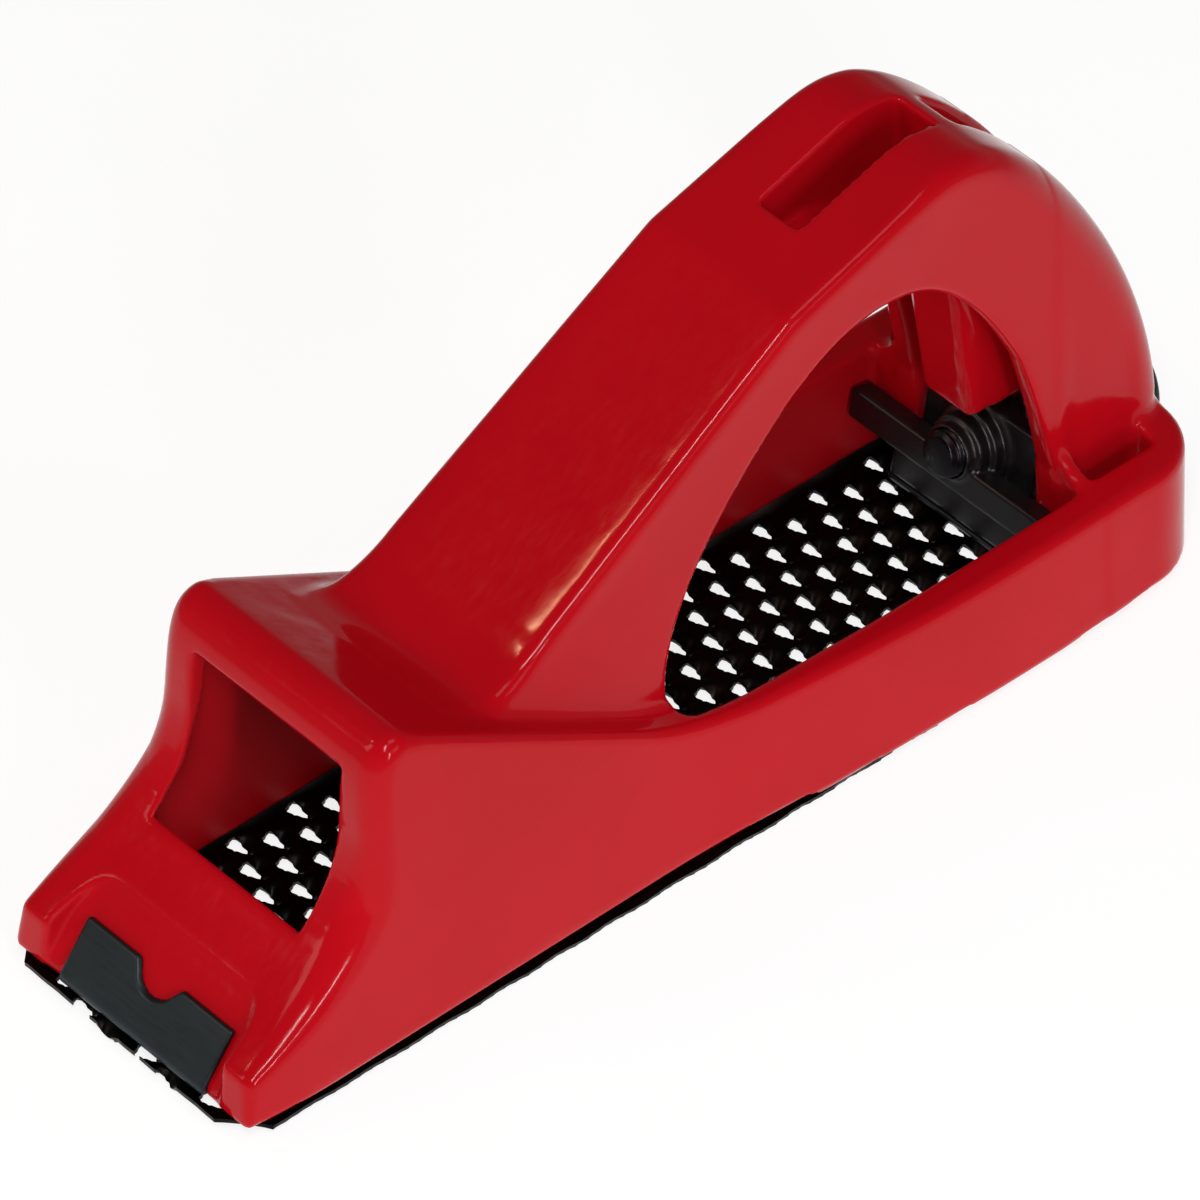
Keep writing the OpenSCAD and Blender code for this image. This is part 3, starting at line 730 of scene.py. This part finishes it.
def threaded_shank(pitch=1.0, radius=3.0, depth=0.45, sides=40, into_head=0.6):
    """The shank with its thread as one closed helicoidal skin, with a chamfer at its tip."""
    cos, sin = math.cos(SCREW_TILT), math.sin(SCREW_TILT)
    runs = np.arange(0, SHANK_L + into_head, pitch / 8)
    points, faces = [], []
    for run in runs:
        chamfer = min(1.0, 0.86 + run / 4)
        for a in np.linspace(0, 2 * math.pi, sides, endpoint=False):
            # From crest to root and back in each turn, with a narrow flat at both
            wave = abs(((run / pitch - a / (2 * math.pi)) % 1) * 2 - 1)
            r = (radius - depth * np.clip(wave * 1.4 - 0.2, 0, 1)) * chamfer
            side, up = r * math.cos(a), r * math.sin(a)
            station = TIP_S + run * cos + up * sin
            height = TIP_Z - run * sin + up * cos
            points.append(((FRONT_X - station) * MM, side * MM, (height + SOLE_Z) * MM))
    rows = len(runs)
    for j in range(rows - 1):
        for i in range(sides):
            k = (i + 1) % sides
            faces.append((j * sides + i, (j + 1) * sides + i, (j + 1) * sides + k, j * sides + k))
    faces.append(tuple(range(sides)))
    faces.append(tuple(range(rows * sides - 1, (rows - 1) * sides - 1, -1)))
    mesh = bpy.data.meshes.new("screw_shank")
    mesh.from_pydata(points, [], faces)
    work = bmesh.new()
    work.from_mesh(mesh)
    bmesh.ops.recalc_face_normals(work, faces=work.faces)
    work.to_mesh(mesh)
    work.free()
    mesh.shade_smooth()
    mesh.set_sharp_from_angle(angle=SHARP_ANGLE)
    return piece("screw_shank", mesh, SCREW_STEEL)


shank = threaded_shank()


# Blade, with its holes in lines LINE_STEP apart, each line LINE_SHIFT further back than the one before
HOLE_STEP, LINE_STEP, LINE_SHIFT = 9, 2.1, 3.75
HOLE_ORIGIN = (0.4, -0.4)
RIGHT = np.array([LINE_SHIFT, LINE_STEP])
UP = np.array([HOLE_STEP - 2 * LINE_SHIFT, -2 * LINE_STEP])
CORNER_CUT = 4.7
SKEW = 0.0075


def tooth_depth(s, y):
    """How far the sheet is pressed down round a hole: deepest at the edge behind it."""
    deepest, rise, fall, middle, half = 0.8, 1.1, 2.0, 0.35, 1.75
    behind = s - deepest
    length = np.where(behind < 0, np.clip(1 + behind / rise, 0, 1), np.clip(1 - behind / fall, 0, 1))
    width = np.clip(1 - (np.abs(y - middle) / half) ** 2, 0, 1)
    return TOOTH_H * length**1.1 * width


def drop_reach(angle):
    """How far a torn drop-shaped hole reaches from its middle: a round head with a tail to one side."""
    (head_s, head_y), head_r = (0.1, -0.42), 1.15
    (tail_s, tail_y), tail_r = (0.35, 1.65), 0.5
    length_squared = 4.35
    r = np.linspace(2.4, 0, 120)  # tried from outside the hole inwards
    s, y = r * math.cos(angle), r * math.sin(angle)
    run_s, run_y = tail_s - head_s, tail_y - head_y
    t = np.clip(((s - head_s) * run_s + (y - head_y) * run_y) / length_squared, 0, 1)
    width = head_r + (tail_r - head_r) * t
    gap = np.hypot(s - head_s - t * run_s, y - head_y - t * run_y) - width
    reach = float(r[np.argmax(gap < 0)])
    return reach * (1 + 0.07 * math.sin(5 * angle + 1) + 0.05 * math.sin(8 * angle))


def holed_cell(corners, per_side=5, rings=4):
    """Points and faces of a cell with a torn hole and the dimple of its tooth behind it."""
    sides = zip(corners, corners[1:] + corners[:1])
    rim = [start + (stop - start) * t / per_side for start, stop in sides for t in range(per_side)]
    count = len(rim)
    points, faces = [], []
    for ring in range(rings + 1):
        f = (ring / rings) ** 1.4  # rings crowd towards the hole
        for p in rim:
            angle = math.atan2(p[1], p[0])
            hole = drop_reach(angle) * np.array([math.cos(angle), math.sin(angle)])
            q = hole + (p - hole) * f
            depth = 0 if ring == rings else float(tooth_depth(q[0], q[1]))
            points.append((-q[0] * MM, q[1] * MM, -depth * MM))
    for ring in range(rings):
        for i in range(count):
            k = (i + 1) % count
            faces.append((ring * count + i, (ring + 1) * count + i, (ring + 1) * count + k, ring * count + k))
    return points, faces


def plain_cell(corners, per_side=5):
    """Points and faces of a flat cell, with the same points along its rim as a holed one."""
    row = per_side + 1
    points, faces = [], []
    for j in range(row):
        for i in range(row):
            q = corners[0] + RIGHT * i / per_side + UP * j / per_side
            points.append((-q[0] * MM, q[1] * MM, 0))
    for j in range(per_side):
        for i in range(per_side):
            k = j * row + i
            faces.append((k, k + 1, k + row + 1, k + row))
    return points, faces


def cell_object(name, make):
    """One cell of the sheet's pattern, a parallelogram whose faces all point up."""
    centre = np.array([0.7, 0.0])
    mesh = bpy.data.meshes.new(name)
    corners = [centre + (a * RIGHT + b * UP) / 2 for a, b in ((-1, -1), (1, -1), (1, 1), (-1, 1))]
    points, faces = make(corners)
    mesh.from_pydata(points, [], faces)
    work = bmesh.new()
    work.from_mesh(mesh)
    for face in work.faces:
        face.normal_update()
    bmesh.ops.reverse_faces(work, faces=[face for face in work.faces if face.normal.z < 0])
    work.to_mesh(mesh)
    work.free()
    return bpy.data.objects.new(name, mesh)


def sag(x, y):
    """How far the thin sheet stands off the sole: its long edges droop and wave, its front edge is bent."""
    s = FRONT_X - x
    flat_half, hem, droop = 15.5, 5.7, 1.3
    edge = np.clip((np.abs(y) - flat_half) / hem, 0, 1)
    along = eased(s, [(-2, 0.5), (25, 0.85), (60, 1), (90, 1.2), (115, 1.1), (138, 0.3)], 6)
    wave = 0.16 * (1 - np.cos(2 * np.pi * (s / HOLE_STEP + 0.1 * np.sin(s / 7))))
    front = 0.12 * np.clip((2.5 - s) / 4.5, 0, 1) ** 1.5 * (1 + 0.5 * np.sin(1.3 * y))
    return edge**1.6 * (droop * along + wave * along) + front


def blade_places():
    """Every place of the pattern that the blade needs, and whether a hole is punched there."""
    bite_reach, bite_half = 1.8, 16
    pattern_half, rear_margin, weld_margin, corner_margin = 17, 3.5, 0.5, 2.5
    places, holed = [], []
    for j in range(-14, 15):
        start = (HOLE_ORIGIN[0] + LINE_SHIFT * j) % HOLE_STEP
        for k in range(-2, 19):
            s, y = start + HOLE_STEP * k, HOLE_ORIGIN[1] + LINE_STEP * j
            # A little past the blade's outline on every side
            if not (-9 < s < 146 and abs(y) < 27):
                continue
            end = min(s - BLADE_FRONT, BLADE_BACK - s)
            welded = abs(y) < HOOK_HALF and end < FOOT_L + weld_margin
            bite = abs(s - BLADE_FRONT) < bite_reach and abs(y) < bite_half
            inner = abs(y) < pattern_half and 0 < s < BLADE_BACK - rear_margin
            corner = end + BLADE_HALF - abs(y) < CORNER_CUT + corner_margin
            places.append((s, y))
            holed.append(bool(bite or (inner and not welded and not corner)))
    return places, holed


def pattern_tree():
    """Geometry nodes that set a cell on every place of the pattern and weld the cells together."""
    tree = bpy.data.node_groups.new("PunchedSheet", "GeometryNodeTree")
    named_inputs = {
        "Places": "Geometry",
        "Holed cell": "Object",
        "Plain cell": "Object",
        "Weld distance": "Float",
        "Finish": "Material",
    }
    for name, kind in named_inputs.items():
        tree.interface.new_socket(name, in_out="INPUT", socket_type="NodeSocket" + kind)
    tree.interface.new_socket("Sheet", in_out="OUTPUT", socket_type="NodeSocketGeometry")
    start = add(tree, "NodeGroupInput").outputs
    read = {"data_type": "BOOLEAN", "Name": "punched"}
    punched = add(tree, "GeometryNodeInputNamedAttribute", read).outputs["Attribute"]
    unpunched = add(tree, "FunctionNodeBooleanMath", {"operation": "NOT"}, {0: punched})
    together = add(tree, "GeometryNodeJoinGeometry")
    for cell, choice in (("Holed cell", punched), ("Plain cell", unpunched)):
        shape = add(tree, "GeometryNodeObjectInfo", None, {"Object": start[cell]}).outputs["Geometry"]
        links = {"Points": start["Places"], "Selection": choice, "Instance": shape}
        made = add(tree, "GeometryNodeInstanceOnPoints", None, links)
        tree.links.new(made.outputs["Instances"], together.inputs["Geometry"])
    real = add(tree, "GeometryNodeRealizeInstances", None, {"Geometry": together})
    links = {"Geometry": real, "Distance": start["Weld distance"]}
    welded = add(tree, "GeometryNodeMergeByDistance", None, links)
    finished = add(tree, "GeometryNodeSetMaterial", None, {"Geometry": welded, "Material": start["Finish"]})
    add(tree, "NodeGroupOutput", None, {"Sheet": finished})
    return tree


def patterned_sheet():
    """The pattern of cells as one mesh, past the outline of the blade on every side."""
    places, holed = blade_places()
    mesh = bpy.data.meshes.new("blade_places")
    mesh.from_pydata([((FRONT_X - s) * MM, y * MM, SOLE_Z * MM) for s, y in places], [], [])
    mesh.attributes.new("punched", "BOOLEAN", "POINT").data.foreach_set("value", holed)
    base = bpy.data.objects.new("blade_pattern", mesh)
    bpy.context.scene.collection.objects.link(base)
    cells = [cell_object("holed_cell", holed_cell), cell_object("plain_cell", plain_cell)]
    modifier = base.modifiers.new("Pattern", "NODES")
    modifier.node_group = pattern_tree()
    values = {"Holed cell": cells[0], "Plain cell": cells[1], "Finish": BLADE_STEEL}
    values["Weld distance"] = 0.02 * MM
    for item in modifier.node_group.interface.items_tree:
        if item.item_type == "SOCKET" and item.in_out == "INPUT" and item.name in values:
            modifier[item.identifier] = values[item.name]
    sheet = plain_mesh(base, "rasp_blade")
    for cell in cells:
        bpy.data.objects.remove(cell)
    return sheet


def trimmed(work):
    """Cuts a sheet along its two ends, its two sides and its four corners."""
    front, rear = FRONT_X - BLADE_FRONT, FRONT_X - BLADE_BACK
    cuts = [((front, 0), (1, 0)), ((rear, 0), (-1, 0))]
    cuts += [((0, BLADE_HALF), (0, 1)), ((0, -BLADE_HALF), (0, -1))]
    for end, way in ((front, 1), (rear, -1)):
        for side in (-1, 1):
            cuts.append(((end - way * CORNER_CUT, side * BLADE_HALF), (way, side)))
    for (x, y), (nx, ny) in cuts:
        bmesh.ops.bisect_plane(
            work,
            geom=work.verts[:] + work.edges[:] + work.faces[:],
            dist=1e-7,
            plane_co=(x * MM, y * MM, 0),
            plane_no=Vector((nx, ny, 0)).normalized(),
            clear_outer=True,
        )


def settled(work):
    """Lays a flat sheet as it hangs from its hooks: askew by SKEW radians, torn and sagging."""
    middle, backwards = FRONT_X - 80, 0.16
    for vert in work.verts:
        x, y = vert.co.x / MM, vert.co.y / MM
        vert.co.x += (SKEW * y - backwards) * MM
        vert.co.y -= SKEW * (x - middle) * MM
        torn = 0.12 * math.sin(2.9 * x + 1.7 * math.sin(2.3 * y)) * min(1, (SOLE_Z - vert.co.z / MM) / 0.3)
        vert.co.y += torn * MM
        # The lower face never goes below the plane on which the part lies
        vert.co.z -= min(float(sag(x, y)), vert.co.z / MM - BLADE_T) * MM


def punched_blade():
    """The rasp blade: the pattern of cells, trimmed to the sheet's outline and given its thickness."""
    sheet = patterned_sheet()
    work = bmesh.new()
    work.from_mesh(sheet)
    trimmed(work)
    settled(work)
    work.to_mesh(sheet)
    work.free()
    flat = piece("blade_trimmed", sheet, BLADE_STEEL)
    thick = flat.modifiers.new("Thickness", "SOLIDIFY")
    thick.thickness = BLADE_T * MM
    thick.offset = -1
    sheet = plain_mesh(flat, "rasp_blade")
    sheet.shade_smooth()
    sheet.set_sharp_from_angle(angle=SHARP_ANGLE)
    return piece("rasp_blade", sheet, BLADE_STEEL)


blade = punched_blade()

# Each piece hangs from its carrier, and the imported part that it stands for is hidden
for made, node, slot_name, carrier in (
    (body, "body", "body", "frame"),
    (blade, "blade_sheet", "blade", "frame"),
    (front_hook, "front_hook", "hook", "frame"),
    (rear_hook, "rear_hook", "hook", "frame"),
    (tension_bar, "tension_bar", "bar", "bar"),
    (head, "tension_screw", "screw", "screw"),
    (shank, "tension_screw", "screw", "screw"),
):
    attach(made, carrier)
    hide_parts(node)

for node, material in (("bar_nut", BRASS), ("screw_washer", ZINC)):
    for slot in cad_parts[node].material_slots:
        slot.material = material


# Floor, light and camera
def floor(half=3.0):
    """A sheet of white paper, wide enough to fill every view."""
    mesh = bpy.data.meshes.new("paper_floor")
    corners = [(-half, -half, 0), (half, -half, 0), (half, half, 0), (-half, half, 0)]
    mesh.from_pydata(corners, [], [(0, 1, 2, 3)])
    return piece("paper_floor", mesh, seamless_paper())


floor()


MIDDLE = Vector((0, 0, 0.03))


def soft_light(name, place, size, power, colour="#FFFFFF"):
    """A soft box, with a width and a height in metres, that faces the middle of the part."""
    lamp = bpy.data.lights.new(name, "AREA")
    lamp.shape = "RECTANGLE"
    lamp.size, lamp.size_y = size
    lamp.energy = power
    lamp.color = linear(colour)[:3]
    obj = bpy.data.objects.new(name, lamp)
    obj.location = place
    obj.rotation_euler = (MIDDLE - Vector(place)).to_track_quat("-Z", "Y").to_euler()
    bpy.context.scene.collection.objects.link(obj)


soft_light("key_box", (0.0, 0.95, 0.6), (0.4, 0.3), 0.7)
soft_light("strip_box", (0.34, 0.85, 0.4), (0.05, 0.35), 1.8)
soft_light("ridge_box", (0.42, 0.42, 0.8), (0.07, 0.3), 2.6)
soft_light("over_box", (0.0, 0.3, 1.0), (0.3, 0.3), 0.8)
soft_light("window", (0.44, -0.44, 0.78), (0.01, 0.08), 0.4, "#FFC69C")
soft_light("left_box", (0.9, -0.5, 0.75), (0.25, 0.5), 1.5, "#FFF4E6")


def studio():
    """A room with bright walls low down and a dim ceiling, so that flat tops stay deep in colour."""
    world = bpy.data.worlds.new("studio")
    world.use_nodes = True
    tree = world.node_tree
    ray = add(tree, "ShaderNodeTexCoord").outputs["Generated"]
    height = add(tree, "ShaderNodeSeparateXYZ", None, {"Vector": ray}).outputs["Z"]
    glow = add(tree, "ShaderNodeMapRange", span(0.28, 0.09, 0.05, 0.5), {"Value": height})
    tree.links.new(glow.outputs["Result"], tree.nodes["Background"].inputs["Strength"])
    tree.nodes["Background"].inputs["Color"].default_value = (1, 1, 1, 1)
    return world


bpy.context.scene.world = studio()
bpy.context.scene.view_settings.view_transform = "Standard"


def photo_camera():
    """The photograph's own view, from about 1.26 m away, turned and tipped as it was taken."""
    lens = bpy.data.cameras.new("camera")
    lens.sensor_width = 36
    lens.sensor_fit = "HORIZONTAL"
    lens.lens = 331.3
    lens.clip_end = 20
    eye = bpy.data.objects.new("camera", lens)
    azimuth, elevation = math.radians(138.09), math.radians(42.44)
    ahead, aside, above = 550.9, 692.1, 873.5
    eye.location = ((FRONT_X + ahead) * MM, aside * MM, (above + SOLE_Z) * MM)
    eye.rotation_euler = (math.pi / 2 - elevation, 0, azimuth)
    bpy.context.scene.collection.objects.link(eye)
    return eye


bpy.context.scene.camera = photo_camera()
